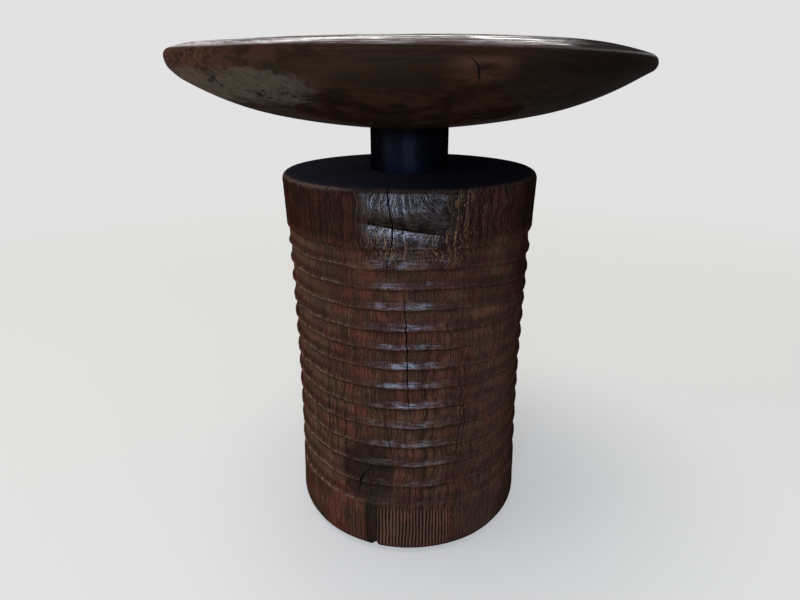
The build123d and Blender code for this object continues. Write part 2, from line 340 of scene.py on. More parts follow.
# the head's end grain, painted lighter on the left and darker on the right as the light falls
head_face_lit_left = blend(x.between(-120, 60), (0.052, 0.047, 0.058), (0.015, 0.014, 0.019))
wood = layered(
    wood,
    (worn, (0.30, 0.185, 0.115)),
    # painted highlight of the ledge's glints
    (glint * 0.6, (0.30, 0.27, 0.30)),
    (comb.between(0, -0.8) * 0.5, (0.18, 0.105, 0.066)),
    # painted shade in the bottoms of the furrows; the pale ridges above are wear
    (comb.between(0, 0.8) * 0.7, (0.006, 0.0035, 0.0025)),
    (painted_shade, (0.006, 0.003, 0.002)),
    (stored(tree, "head"), head_face_lit_left),
)
print("wear laid,", len(tree.nodes), "nodes")

# %% [markdown]
# Dry wood has almost no shine of its own here. The shine is a coat of wax with
# a weight that changes from place to place, strong where the wood was rubbed.
# Wax fills the finest lines, so the coat has a weaker relief than the wood.

# %% Wax on the log
rub = noise(point(x, y, z * 1.6), 1 / 17).between(0.36, 0.60)
stroke = noise(point(x / 11, y / 11, z / 1.3))
gleam = wax_and_flank_shade.between(0.48, 1) * (rub * 0.8 + 0.2) * fibre.between(0.26, 0.46, 0.5, 1)
gleam = gleam * stroke.between(0.44, 0.56, 0.14, 1)
gleam = gleam * x.between(-66, -32) * x.between(60, 30, 0.08, 1)
gleam = gleam * z.between(340, 170, 0.72, 1.3) * z.between(90, 150, 0.35, 1)
lines = curl * layer.between(0.40, 0.50) * fibre.between(0.36, 0.46) * (crest_and_ledge_shade * -1 + 1)
lines = lines * z.between(374, 389, 0.15, 1.2) * x.between(15, -15, 0.62, 1.05)
# the cut's floor and the wood well below its ledge stay dull
lines = lines * (above_ledge.between(-0.5, 1) * above_ledge.between(15, 6) * -0.72 + 1)
lines = lines * (above_ledge.between(-5, -11) * -0.6 + 1)
gleam = gleam.larger(lines.larger(glint * 1.3) * x.between(48, 22, 0.15, 1))
height = (ridge * 0.8 - pores * 0.5) * (curl * 1.2 + 1) + fibre * 0.6
waxed_height = height * (curl * 0.36 + 0.14) + stroke * (curl * -0.35 + 0.4)
relief(shader, height, 0.4)
relief(shader, waxed_height, 0.4, "Coat Normal")
wax = (gleam + 0.02) * facing(tree)
dress(shader, wood, fibre.between(0.3, 0.7, 0.50, 0.68), 0, wax, 0.2)
print("made", log_finish.name)

# %% [markdown]
# ## Inside a crack
#
# A crack is too narrow for light or wax to reach its bottom. Its walls are
# painted nearly black as shade, in a material of their own, which the cutting
# step hands over to the faces it makes.

# %% Wood inside the cracks
crack_finish, tree, shader, where = new_finish("crack_shade_wood")
x, y, z = split(where)
torn = noise(point(x / 0.8, y / 0.8, z / 9), 1, 3)
# painted shade: the crack's walls are nearly black
crack_shade = blend(torn, (0.004, 0.0025, 0.002), (0.014, 0.008, 0.006))
dress(shader, crack_shade, torn.between(0.2, 0.8, 0.8, 0.95), 0.2)
relief(shader, torn, 0.5)
print("made", crack_finish.name)

# %% [markdown]
# ## The lacquered top
#
# The top is turned from one wide slab and stained almost black under a gloss
# lacquer. Its grain lies flat and runs across the table, so the layers are
# stretched along one level direction. Thin places in the stain show red-brown
# wood, most of all at the rim, and the rim's left end is redder and painted
# lighter where the light falls. Handling has rubbed the left of the belly to a
# dull grey-brown, with small dark pits in it. The belly's front left is painted
# lighter and the top's right end darker as the light falls, and a painted
# highlight runs along the crease at the far left.

# %% Stained wood of the top
top_finish, tree, shader, where = new_finish("stained_lacquered_wood")
x, y, z = split(where)
front = y.between(0, -20)
rim, shoulder, crease = (stored(tree, name) for name in ("rim", "gloss", "crease"))
drift = noise(point(x / 90, y / 40, z / 30), 1, 2, 0.5)
lie = z + y * 0.22 + (drift - 0.5) * 26
layer = noise(point(x / 160, y / 60, lie / 2.6), 1, 3)
fibre = noise(point(x / 26, y / 1.6, z / 1.3), 1, 3)
mottle = noise(point(x / 34, y / 34, z / 14), 1, 3)
grit = noise(point(x, y, z * 1.6), 1 / 5.5, 3, 0.65)
tone = ((layer - 0.5) * 1.1 + (fibre - 0.5) * 0.5 + 0.5).between(0.1, 0.95)
# painted light: the front of the belly below the rim is lighter towards the left, where the light
# falls
haze = x.between(90, -60) * z.between(512, 530) * z.between(543, 533, 0.2, 1) * front
bare = mottle.between(0.46, 0.60) * (rim * x.between(0, -120, -0.45, 0.1) + 0.5)
# the rim's left end is redder and painted lighter, where the light falls
left_rim_light_and_red = rim * x.between(-110, -190) * grit.between(0.36, 0.60)
split_side = x.between(18, 45) * x.between(82, 60) * z.between(516, 530) * front
split_side = split_side * z.between(545, 538) * mottle.between(0.30, 0.55)
handled = stored(tree, "worn")
patch = (handled + (mottle - 0.5) * 1.6 + (grit - 0.5)).between(0.20, 1.05)
patch = patch * handled.between(0, 0.5)
dull = patch * fibre.between(0.22, 0.60, 0.45, 1) * grit.between(0.30, 0.50, 0.6, 1)
# painted highlight: a pale line along the crease at the far left
crease_highlight = crease * x.between(-120, -150) * grit.between(0.34, 0.46)
stain = layered(
    blend(tone, (0.0120, 0.0058, 0.0034), (0.030, 0.0150, 0.0075)),
    (haze * 0.3, (0.052, 0.036, 0.019)),
    (bare * 0.8, (0.066, 0.027, 0.016)),
    (left_rim_light_and_red * 0.6, (0.110, 0.044, 0.028)),
    (split_side * 0.75, (0.085, 0.037, 0.020)),
    (dull, (0.108, 0.080, 0.054)),
    (stored(tree, "pit") * 0.9, (0.006, 0.004, 0.003)),
    (shoulder * 0.6, (0.085, 0.043, 0.036)),
    # painted shade: the right end of the top is darkened, away from the light
    (x.between(60, 150) * (shoulder * 0.2 + 0.65), (0.006, 0.0035, 0.0035)),
    (crease_highlight * 0.85, (0.62, 0.52, 0.46)),
)
print("stain of", top_finish.name, "has", len(tree.nodes), "nodes")

# %% [markdown]
# Lacquer shines above the rim, in streaks that follow the turning where it was
# polished last. The flat face is rubbed duller than the shoulder round it.

# %% Lacquer on the top
across = (x * x + y * y) ** 0.5
streak = noise(point(x / 60, y / 60, across / 4.5), 1, 4, 0.65).between(0.45, 0.57)
broken = noise(point(x / 15, y / 15, across / 2.6)).between(0.36, 0.50, 0.45, 1)
gloss = shoulder * (streak * 0.85 + 0.15) * broken
gloss = gloss * x.between(92, 145, 1, 0.05) * across.between(172, 190, 0.3, 1)
gloss = gloss.larger(crease * grit.between(0.30, 0.50, 0.2, 0.55))
dress(shader, stain, patch.between(0, 1, 0.3, 0.5), 0, gloss + 0.02, 0.12)
relief(shader, fibre * 0.3 + grit * 0.7, 0.12)
print("made", top_finish.name)

# %% [markdown]
# ## Steel, lacquer and nylon
#
# The neck is sprayed gloss black: the paint has a slight orange-peel, which
# breaks up a reflection just enough to look real. Its lower front is painted
# with a blue reflection, since the top keeps light off the upper half.

# %% Black lacquer of the neck
neck_finish, tree, shader, where = new_finish("gloss_black_lacquer")
x, y, z = split(where)
haze = noise(point(x, y, z * 0.5), 1 / 14, 3)
# painted reflection: a bluish spot on the lower front of the neck, which the coat also marks
reflection_spot = z.between(478, 460) * (x.between(-32, -18) * x.between(22, 4) * 0.9 + 0.1)
black = blend(haze, (0.0010, 0.0010, 0.0013), (0.0026, 0.0028, 0.0042))
black = blend(reflection_spot * haze.between(0.3, 0.6, 0.5, 1), black, (0.0050, 0.0075, 0.0150))
sheen = facing(tree) * (reflection_spot * 0.05 + 0.008)
dress(shader, black, haze.between(0.3, 0.7, 0.12, 0.22), 0, sheen, 0.3)
relief(shader, noise(where, 1 / 2.6, 2, 0.5), 0.03)
print("made", neck_finish.name)

# %% [markdown]
# The hidden hardware is zinc plated, with fine rolling scratches and a faint
# cloudy spangle. The glides are moulded nylon with a matte grain.

# %% Zinc plate and nylon
steel_finish, tree, shader, where = new_finish("zinc_plated_steel")
x, y, z = split(where)
cloud = noise(where, 1 / 6, 3)
scratch = noise(point(x / 9, y / 0.5, z / 0.5))
zinc = blend(cloud, (0.36, 0.36, 0.35), (0.56, 0.56, 0.55))
rolled = (cloud * 0.6 + scratch * 0.4).between(0.3, 0.7, 0.28, 0.5)
dress(shader, zinc, rolled, Metallic=1)
relief(shader, scratch, 0.02)

glide_finish, tree, shader, where = new_finish("moulded_brown_nylon")
rub = noise(where, 1 / 5, 3)
nylon = blend(rub.between(0.35, 0.7), (0.045, 0.032, 0.026), (0.10, 0.078, 0.066))
dress(shader, nylon, rub.between(0.3, 0.7, 0.45, 0.65))
relief(shader, noise(where, 1 / 0.8, 2, 0.5), 0.05)
print("made", steel_finish.name, "and", glide_finish.name)

# %% [markdown]
# ## The drum's outline, row by row
#
# A turned outline could be spun round the axis, but then every crest would be a
# perfect circle. Here each row of vertices follows a height that may change
# with the angle, so a crest can climb and dip as a hand-cut one does. Rows may
# also have different counts: the foot gets twice the columns, for its fine
# upright furrows, and the hollow gets half.


# %% Helpers that place rows
waist_radius = 140.0
end_flare = 4.2


def smooth_step(value, low, high):
    """0 below low, 1 above high, and a soft rise between."""
    t = np.clip((value - low) / (high - low), 0.0, 1.0)
    return t * t * (3 - 2 * t)


def turns(count):
    """Angles of a row, in degrees from the front, positive to the right."""
    return (np.arange(count) * 360.0 / count + 180.0) % 360.0 - 180.0


def log_radius(z):
    """Radius of the drum's crests: narrowest half way up."""
    middle, half = (head_z + foot_z) / 2, (head_z - foot_z) / 2
    return waist_radius + end_flare * ((z - middle) / half) ** 2


def loop_faces(first, first_count, second, second_count):
    """Faces between two rows: equal counts, one twice the other, or a single point."""
    i = np.arange(first_count)
    j = (i + 1) % first_count
    if second_count == 1:
        around = [first + i, first + j, 0 * i + second]
    elif second_count == first_count:
        around = [first + i, first + j, second + j, second + i]
    elif second_count == 2 * first_count:
        far = second + (2 * i + 2) % second_count
        around = [first + i, first + j, far, second + 2 * i + 1, second + 2 * i]
    else:
        flipped = loop_faces(second, second_count, first, first_count)
        return [face[::-1] for face in flipped]
    return np.stack(around, 1).tolist()


def ring_mesh(name, rows, looped=True):
    """Closed mesh of rows. A row is (radius, height, extras), each an array over its angles.
    The last row joins the first one, unless both are single points on the axis."""
    counts = [len(row[0]) for row in rows]
    starts = np.concatenate([[0], np.cumsum(counts)[:-1]])
    places = []
    for (radius, height, _), count in zip(rows, counts):
        angle = np.radians(turns(count))
        places.append(np.stack([radius * np.sin(angle), -radius * np.cos(angle), height], 1))
    faces = []
    for k in range(len(rows) if looped else len(rows) - 1):
        n = (k + 1) % len(rows)
        faces += loop_faces(starts[k], counts[k], starts[n], counts[n])
    mesh = bpy.data.meshes.new(name)
    mesh.from_pydata((np.concatenate(places) * MM).tolist(), [], faces)
    for key in rows[0][2]:
        values = np.concatenate([np.broadcast_to(row[2][key], len(row[0])) for row in rows])
        layer = mesh.attributes.new(key, "FLOAT", "POINT")
        layer.data.foreach_set("value", values.astype(np.float32))
    return mesh


print("row helpers ready")

# %% [markdown]
# ## Where the crests lie
#
# The carver set the coves out by eye: they are about 19 to 28 mm high, and on
# the right the upper crests sag by up to 10 mm. The two lists give the
# crests at the front and at the right, and the rows blend from one to the
# other round the drum.

# %% Crest heights and the rows of the drum
columns = 640
front_crests = [69.5, 96, 123, 148, 173, 197, 221.5, 244.5, 267, 288, 311.5, 334, 355, 375]
right_crests = [69.5, 97, 125.5, 148, 173, 194, 218, 240, 262, 284, 303, 324, 348, 373]
cove_steps = [0.0, 0.08, 0.24, 0.5, 0.76, 0.92]


def crest_height(index, angle):
    """Height of a crest: the front list, sliding to the right list past 25 degrees."""
    right = smooth_step(angle, 22, 62) * (1 - smooth_step(angle, 120, 170))
    return front_crests[index] * (1 - right) + right_crests[index] * right


def blank(**given):
    """What a vertex carries for the carving step; zero means it stays as it is."""
    names = "low_line low_sway high_sway cove phase wall foot inside scoop gloom".split()
    return dict(dict.fromkeys(names, 0.0), **given)


def flat_row(radius, height, count, **given):
    return (np.full(count, float(radius)), np.full(count, float(height)), blank(**given))


print(len(front_crests) - 1, "coves,", columns, "columns")

# %% [markdown]
# ## The scoop in the head band
#
# At the front of the head band somebody once cut away a slice: the lip is
# bevelled back there, and the cut ends below in a small ledge that runs down to
# the right. It is one mark, not a pattern, so plain array arithmetic places it.


# %% Depth of the scoop
head_band_line = 13  # the topmost crest, which the head band sways with


def ledge_height(angle):
    """Height of the ledge; beyond the scoop it eases back to where it began."""
    slope = 397.5 - np.clip(angle + 15, 0, 27) * 0.36
    return slope + smooth_step(angle, 14, 60) * 9.7


def in_scoop(angle):
    return smooth_step(angle, -17.5, -13.5) * (1 - smooth_step(angle, 10.0, 14.5))


def scoop_depth(angle, z):
    """Millimetres cut away at an angle and a height."""
    ledge = ledge_height(angle)
    bevel = 5.6 * smooth_step(z, 402, 438)
    hollow = 5.2 * (1 - smooth_step(z, ledge + 1, ledge + 15))
    burl = 3.6 * (1 - np.clip((ledge + 0.8 - z) / 21, 0, 1)) ** 2
    return in_scoop(angle) * np.maximum(bevel, np.where(z > ledge + 0.8, hollow, burl))


def wall_row(height, count, **given):
    """One row of the outer wall at a height that may change with the angle."""
    angle = turns(count)
    z = height(angle) if callable(height) else np.full(count, float(height))
    return (log_radius(z) - scoop_depth(angle, z), z, blank(wall=1.0, **given))


def band_row(height, sway, **given):
    """A row of the head band, which follows the topmost crest by a share."""
    return wall_row(height, columns, low_line=head_band_line, low_sway=sway, **given)


print("ledge in front at", round(float(ledge_height(0.0)), 1), "mm")

# %% [markdown]
# The rows start at the neck's seat, go out over the head, down the wall, round
# the foot, up the hollow and back through the rod's hole. The list closes on
# itself, so the drum is one watertight skin.

# %% Rows of the whole drum
neck_seat_radius = 44.3
neck_seat_edge = 26.0
rod_hole_radius = 8.8
hollow_radius = 104.0
hollow_chamfer = 20.0
ceiling_z = 367.0
lip_round = 7.0
foot_round = 13.5
few_columns = columns // 2
quarter_turn = [math.radians(18 * step) for step in range(6)]

rows = []
for radius in (neck_seat_radius, 54, 68, 84, 100, 114, 125, 132):
    rows.append(flat_row(radius, head_z, few_columns))
lip_cut = scoop_depth(turns(columns), np.full(columns, head_z - 1.0))
for lean in quarter_turn:
    radius = log_radius(head_z - lip_round) - lip_cut - lip_round * (1 - math.sin(lean))
    height = np.full(columns, head_z - lip_round * (1 - math.cos(lean)))
    rows.append((radius, height, blank(wall=math.sin(lean))))
for z in (419.0, 412.5, 406.5):
    rows.append(band_row(z, (head_z - 13 - z) / 44))
# above the ledge: how strongly each row is painted pale as the ledge's
# highlight, and how dark as shade in the cut
ledge_rows = [(6.5, 0, 0.5), (4.0, 0, 1), (2.4, 0, 1), (1.0, 0, 1), (0.0, 1, 0.1)]
for above, pale, dim in ledge_rows + [(-2.0, 1, 0), (-4.5, 0.3, 0), (-8.5, 0, 0)]:
    cut_here = in_scoop(turns(columns))
    given = dict(scoop=cut_here * pale, gloom=cut_here * dim)
    rows.append(band_row(lambda angle: ledge_height(angle) + above, 0.6, **given))
rows.append(band_row(378.2, 0.9))
rows.append(band_row(lambda angle: crest_height(head_band_line, angle), 1.0))

for cove in reversed(range(len(front_crests) - 1)):
    for step in reversed(cove_steps):

        def cove_height(angle):
            return crest_height(cove, angle) * (1 - step) + crest_height(cove + 1, angle) * step

        given = dict(low_line=cove, low_sway=1 - step, high_sway=step, cove=1.0, phase=step)
        rows.append(wall_row(cove_height, columns, **given))

for z in (65.5, 60.0, 53.0, 46.0, 39.0, 32.0, 25.0, 19.0):
    rows.append(wall_row(z, 2 * columns, low_sway=(z - 15) / 54.5, foot=1.0))
foot_edge = log_radius(foot_z + foot_round)
for step, lean in enumerate(quarter_turn):
    radius = foot_edge - foot_round * (1 - math.cos(lean))
    z = foot_z + foot_round * (1 - math.sin(lean))
    count = 2 * columns if step < 3 else columns
    rows.append(flat_row(radius, z, count, foot=math.cos(lean), wall=math.cos(lean)))
for radius in (122, 112, hollow_radius):
    rows.append(flat_row(radius, foot_z, few_columns))
for z in np.linspace(foot_z + 3, ceiling_z - hollow_chamfer, 24):
    rows.append(flat_row(hollow_radius, z, few_columns, inside=1.0))
for share in (0.33, 0.67, 1.0):
    radius = hollow_radius - hollow_chamfer * share
    z = ceiling_z - hollow_chamfer + hollow_chamfer * share
    rows.append(flat_row(radius, z, few_columns, inside=0.6 * (1 - share)))
for radius, count in ((66, 320), (47, 320), (28, 160), (rod_hole_radius, 80)):
    rows.append(flat_row(radius, ceiling_z, count))
rows.append(flat_row(rod_hole_radius, neck_seat_z, 80))
rows.append(flat_row(neck_seat_edge, neck_seat_z, 160))
rows.append(flat_row(neck_seat_radius, neck_seat_z, 320))

drum_mesh = ring_mesh("carved_drum", rows)
print(len(rows), "rows,", len(drum_mesh.vertices), "vertices")

# %% [markdown]
# ## Carving with Geometry Nodes
#
# The rows only say where each cove begins and ends. The carving itself follows
# a rule, so a node tree does it: a Float Curve is the cross-section of the
# gouge, one noise lets each crest wander, another varies the depth, and cells
# leave the shallow facets of single strokes. Its inputs have names, so the same
# tree could carve deeper coves or a wilder log.


# %% Helpers for Geometry Nodes
def new_carving(name, inputs):
    """A geometry tree with named inputs: the tree, its mesh, the places in mm, the inputs."""
    tree = bpy.data.node_groups.new(name, "GeometryNodeTree")
    new_socket = tree.interface.new_socket
    new_socket("Geometry", in_out="INPUT", socket_type="NodeSocketGeometry")
    new_socket("Geometry", in_out="OUTPUT", socket_type="NodeSocketGeometry")
    for label, value in inputs.items():
        kind = "NodeSocketFloat" if isinstance(value, float) else "NodeSocketMaterial"
        new_socket(label, in_out="INPUT", socket_type=kind).default_value = value
    entry = tree.nodes.new("NodeGroupInput")
    given = {label: Field(tree, entry.outputs[label]) for label in inputs}
    where = scaled(add_node(tree, "GeometryNodeInputPosition", {}), 1 / MM)
    return tree, Field(tree, entry.outputs["Geometry"]), where, given


def carried(tree, name):
    """A number that the vertices carry."""
    inputs = {"Name": name}
    return add_node(tree, "GeometryNodeInputNamedAttribute", inputs, "Attribute", data_type="FLOAT")


def keep(geometry, marks):
    """Writes numbers at the corners, where a later cut can still blend them."""
    for name, value in marks.items():
        inputs = {"Geometry": geometry, "Name": name, "Value": value}
        options = dict(data_type="FLOAT", domain="CORNER")
        geometry = add_node(geometry.tree, "GeometryNodeStoreNamedAttribute", inputs, **options)
    return geometry


def section(value, points):
    """A drawn curve: the value goes in along it and its height comes out."""
    node = value.tree.nodes.new("ShaderNodeFloatCurve")
    curve = node.mapping.curves[0]
    while len(curve.points) < len(points):
        curve.points.new(0.5, 0.5)
    for place, spot in zip(curve.points, points):
        place.location = spot
        place.handle_type = "AUTO"
    node.mapping.update()
    feed(node.inputs["Value"], value)
    return Field(value.tree, node.outputs[0])


def end_carving(geometry, finish):
    """Every tree ends with real geometry in one material."""
    tree = geometry.tree
    real = add_node(tree, "GeometryNodeRealizeInstances", {0: geometry})
    painted = add_node(tree, "GeometryNodeSetMaterial", {"Geometry": real, "Material": finish})
    feed(tree.nodes.new("NodeGroupOutput").inputs["Geometry"], painted)


print("geometry helpers ready")


# %% Helpers that bake a piece
def show(name, mesh):
    """Puts a mesh into the scene as an object of its own."""
    made = bpy.data.objects.new(name, mesh)
    bpy.context.scene.collection.objects.link(made)
    return made


def bake_object(name, rough):
    """Freezes an object's modifiers into a new plain mesh object, and drops the old one."""
    depsgraph = bpy.context.evaluated_depsgraph_get()
    made = bpy.data.meshes.new_from_object(
        rough.evaluated_get(depsgraph), preserve_all_data_layers=True, depsgraph=depsgraph
    )
    made.name = name
    done = show(name, made)
    bpy.data.objects.remove(rough)
    return done


def bake_tree(name, mesh, tree, values):
    """Runs a tree on a mesh and returns the plain result as a new object."""
    rough = show(name + "_rough", mesh)
    worker = rough.modifiers.new("carve", "NODES")
    worker.node_group = tree
    for item in tree.interface.items_tree:
        if item.item_type == "SOCKET" and item.in_out == "INPUT" and item.name in values:
            worker[item.identifier] = values[item.name]
    return bake_object(name, rough)


print("baking helpers ready")

# %% [markdown]
# The tree opens with its named inputs. Each crest then wanders up and down by
# its own slow noise, and a cove moves with the crests above and below it.

# %% Wandering crests
drum_inputs = {
    "Cove depth": 3.1,
    "Wander": 2.2,
    "Stroke depth": 0.3,
    "Furrow depth": 0.7,
    "Seed": 4.0,
    "Finish": log_finish,
}
tree, mesh, where, given = new_carving("carve_the_drum", drum_inputs)
x, y, z = split(where)
level = point(x, y, 0)
seed = given["Seed"]
phase, cove, wall = (carried(tree, name) for name in ("phase", "cove", "wall"))
line = carried(tree, "low_line")
low = noise(level, 1 / 52, 3, w=line * 5.3 + seed)
high = noise(level, 1 / 52, 3, w=(line + 1) * 5.3 + seed)
sway = (low - 0.5) * carried(tree, "low_sway") + (high - 0.5) * carried(tree, "high_sway")
lift = sway * given["Wander"] * 4
print("crests wander,", len(tree.nodes), "nodes")

# %% [markdown]
# A gouge cuts each cove to one cross-section, steep below and flat above. The
# depth changes along the cove, single strokes and chipped arrises break it up,
# and the log itself is a little lumpy.

# %% Coves and strokes
gouge = [(0, 0), (0.08, 0.26), (0.24, 0.70), (0.5, 0.97), (0.76, 1.0), (0.92, 0.52), (1, 0)]
fuller = noise(point(x, y, z * 1.4), 1 / 38, 2, 0.5, w=seed + 11)
deep = section(phase, gouge) * cove * given["Cove depth"]
deep = deep * fuller.between(0.28, 0.72, 0.45, 1.40, smooth=False)
stroke = cells(point(x, y, z * 0.55), 1 / 15).between(0, 0.9, 1, 0)
fibre = noise(point(x / 2.4, y / 2.4, z / 17), w=seed + 3)
strokes = (stroke + (fibre - 0.5) * 1.5) * given["Stroke depth"]
notch = noise(where, 1 / 6, w=seed + 31).between(0.56, 0.72)
chips = notch * section(phase, [(0, 1), (0.06, 0), (0.94, 0), (1, 1)]) * cove * 0.9
lump = noise(where, 1 / 70, 1, 0.5, w=seed + 23)
outside = (deep + strokes + chips + (lump - 0.5) * 1.6) * wall
print("coves cut,", len(tree.nodes), "nodes")

# %% [markdown]
# Fine furrows run down the foot, strongest at the front, and an adze has left
# its scallops up the hollow. All of it moves the wall in or out along its
# radius, so one Set Position does the work.

# %% Furrows and adze marks
furrow_pitch = 1.56  # degrees from one furrow to the next

bend = noise(point(x, y, z * 0.5), 1 / 26, 2, 0.5, w=seed + 41)
degrees = x.math("ARCTAN2", y * -1) * (180 / math.pi)
furrow_turns = degrees * (360 / furrow_pitch) * (math.pi / 180)
wave = (furrow_turns + (bend - 0.5) * 9).math("SINE")
combed_front = degrees.between(-17, -12.5) * degrees.between(22, 16)
elsewhere = noise(level, 1 / 30, 2, 0.5, w=seed + 51).between(0.5, 0.68) * 0.45
comb = combed_front.larger(elsewhere) * z.between(67, 61) * carried(tree, "foot")
furrows = (wave * 0.5 + 0.5) ** 0.8 * comb * given["Furrow depth"]
scallop = cells(point(x / 21, y / 21, z / 66))
adze = (scallop * scallop * -2.6 + 1.4) * carried(tree, "inside")
radius = (x * x + y * y) ** 0.5
grow = (adze - outside - furrows) * MM / (radius * MM) + 1
moved = point(x * grow * MM, y * grow * MM, (z + lift) * MM)
carved = add_node(tree, "GeometryNodeSetPosition", {"Geometry": mesh, "Position": moved})
print("furrows and adze marks cut,", len(tree.nodes), "nodes")

# %% [markdown]
# The wood's material has to know where the crests, the coves, the scoop and the
# furrows are. So the tree also writes a few marks at the corners of the faces,
# and then ends, as each tree here does, with real geometry in one material.

# %% Marks for the wood, and the carved drum
edge = section(phase, [(0, 1), (0.075, 0.25), (0.2, 0), (0.86, 0), (0.94, 0.35), (1, 1)])
bed = section(phase, [(0, 0), (0.2, 0), (0.45, 1), (0.9, 1), (1, 0.4)])
under = section(phase, [(0, 0), (0.7, 0), (0.92, 0.8), (0.98, 0.5), (1, 0)])
shine = section(phase, [(0, 0.6), (0.05, 1), (0.22, 1), (0.42, 0.1), (0.6, 0), (1, 0)])
# the ledge rows: waxed, and painted pale as a highlight through the worn mark
ledge = carried(tree, "scoop")
# painted highlight: a pale band along the lip at the front left, carried in the worn mark
lip_highlight = z.between(426.5, 429.5) * degrees.between(-10, -30) * wall * 0.8
curl = z.between(354, 368) * degrees.between(-24, -14) * degrees.between(38, 16)
lip = z.between(422, 428) * degrees.between(20, -10) * 0.8
marks = {
    "worn": edge * cove + ledge + lip_highlight,
    # the cove beds: dust, and painted light on the left side
    "dust_and_side_light": bed * cove,
    "furrow": wave * comb,
    # painted shade under each crest and in the cut above the ledge
    "crest_and_ledge_shade": under * cove + carried(tree, "gloom") * 0.8,
    "curl": curl * wall,
    # where wax lies; the material also paints these flanks darker as shade
    "wax_and_flank_shade": ((shine * cove + curl.larger(lip) + ledge) * wall).smaller(1),
    "head": (wall * -1 + 1) * z.between(428, 431.5),
}
end_carving(keep(carved, marks), given["Finish"])
drum = bake_tree("carved_drum", drum_mesh, tree, drum_inputs)
print("carved:", len(drum.data.vertices), "vertices")

# %% [markdown]
# ## Cracks
#
# A hollowed log dries faster outside than inside, so it splits in long narrow
# wedges that follow the grain. Each crack here is a line on the wall with a
# width at every point. A closed wedge is built along that line and cut out of
# the drum, which gives real depth and real edges in the mesh.

# %% The cracks and their wedges
# each line has an angle, a height and a width at every point, and then a depth
cracks = [
    ([(-9, 436, 2.2), (-7.2, 412, 1.9), (-6.4, 386, 1.5), (-8.9, 358, 1.2), (-9, 338, 0.3)], 34),
    ([(-2.0, 330, 0.2), (-1.8, 318, 1.0), (-0.9, 273, 1.5), (-0.3, 208, 1.3), (1.8, 178, 0.2)], 26),
    ([(-10.5, 197, 0.2), (-10.2, 165, 1.1), (-8.4, 150, 1.1), (-7, 131, 0.2)], 16),
    ([(25.0, 216, 0.2), (25.8, 190, 1.4), (27.7, 141, 0.2)], 16),
    ([(17.3, 319, 0.2), (15.6, 281, 1.1), (15, 256, 0.2)], 12),
    ([(12.3, 223, 0.2), (12.4, 210, 1.1), (12.5, 197, 0.2)], 10),
    ([(32.2, 436, 1.2), (33.6, 410, 1.0), (35.1, 387, 0.2)], 16),
    ([(-34, 436, 1.2), (-33, 424, 0.9), (-31, 414, 0.2)], 12),
    ([(-51.0, 371, 0.2), (-51.4, 364, 2.0), (-52, 355, 0.2)], 8),
    ([(-14, 126, 0.3), (-18.4, 113, 2), (-22.2, 103, 3.2), (-23.4, 91, 2.6), (-24.2, 74, 0.4)], 14),
    ([(128, 436, 1.6), (126, 380, 1.4), (129, 300, 1.2), (127, 232, 0.2)], 24),
    ([(-108, 210, 0.2), (-110, 150, 1.3), (-109, 70, 1.1), (-111, -4, 1.4)], 20),
    ([(172, 300, 0.2), (174, 240, 1.0), (171, 180, 0.2)], 14),
    ([(78, 150, 0.2), (80, 90, 1.2), (79, 30, 1.0), (80, -4, 1.2)], 18),
    ([(-70, 330, 0.2), (-71, 280, 0.9), (-69, 236, 0.2)], 12),
]
rng = np.random.default_rng(7)


def wedge(line, depth, radius_at=log_radius):
    """Triangular bars along a line on a round surface, joined into one closed wedge."""
    line = np.array(line, float)
    length = np.concatenate([[0], np.cumsum(np.abs(np.diff(line[:, 1])))])
    steps = np.linspace(0, length[-1], max(4, int(length[-1] / 5)))
    angle = np.interp(steps, length, line[:, 0]) + rng.normal(0, 0.16, len(steps))
    z = np.interp(steps, length, line[:, 1])
    width = np.interp(steps, length, line[:, 2]) * rng.uniform(0.75, 1.2, len(steps))
    sides = [(6.0, 0.5), (6.0, -0.5), (-depth, 0.0)]
    points = []
    for a, h, w in zip(angle, z, width):
        surface = radius_at(h)
        for out, side in sides:
            spread = w * (1 + max(out, 0) / depth) * side
            turn = math.radians(a) + spread / surface
            reach = surface + out * (1.0 if out > 0 else min(1.0, w + 0.3))
            points.append((reach * math.sin(turn), -reach * math.cos(turn), h))
    faces = [(0, 1, 2), (len(points) - 1, len(points) - 2, len(points) - 3)]
    for k in range(len(angle) - 1):
        for s in range(3):
            a, b = 3 * k + s, 3 * k + (s + 1) % 3
            faces.append((a, a + 3, b + 3, b))
    return points, faces


def to_object(name, points, faces, finish):
    """A mesh object from points in millimetres, with its faces turned outwards."""
    mesh = bpy.data.meshes.new(name)
    mesh.from_pydata([tuple(c * MM for c in p) for p in points], [], faces)
    mesh.materials.append(finish)
    if signed_volume(mesh) < 0:
        mesh.flip_normals()
    return show(name, mesh)


def signed_volume(mesh):
    """Volume of a closed mesh; below zero where its faces point inwards."""
    mesh.calc_loop_triangles()
    places = np.array([v.co for v in mesh.vertices])
    corners = places[np.array([t.vertices[:] for t in mesh.loop_triangles])]
    spread = np.cross(corners[:, 1], corners[:, 2])
    return float(np.einsum("ij,ij->i", corners[:, 0], spread).sum() / 6)


if signed_volume(drum.data) < 0:
    drum.data.flip_normals()
print("drum volume in litres:", round(signed_volume(drum.data) * 1000, 2))

# %% [markdown]
# Each wedge cuts on its own, because overlapping cutters confuse a Boolean. The
# chip at the foot and the pockets for the glides are cut in the same way.


# %% Cut the cracks, the chip and the glide pockets
def cut(piece, cutter):
    """Takes the cutter's shape out of a piece and removes the cutter."""
    worker = piece.modifiers.new("cut", "BOOLEAN")
    worker.operation = "DIFFERENCE"
    worker.solver = "MANIFOLD"
    worker.object = cutter
    worker.material_mode = "TRANSFER"
    name = piece.name
    piece.name = name + "_before"
    done = bake_object(name, piece)
    bpy.data.objects.remove(cutter)
    return done


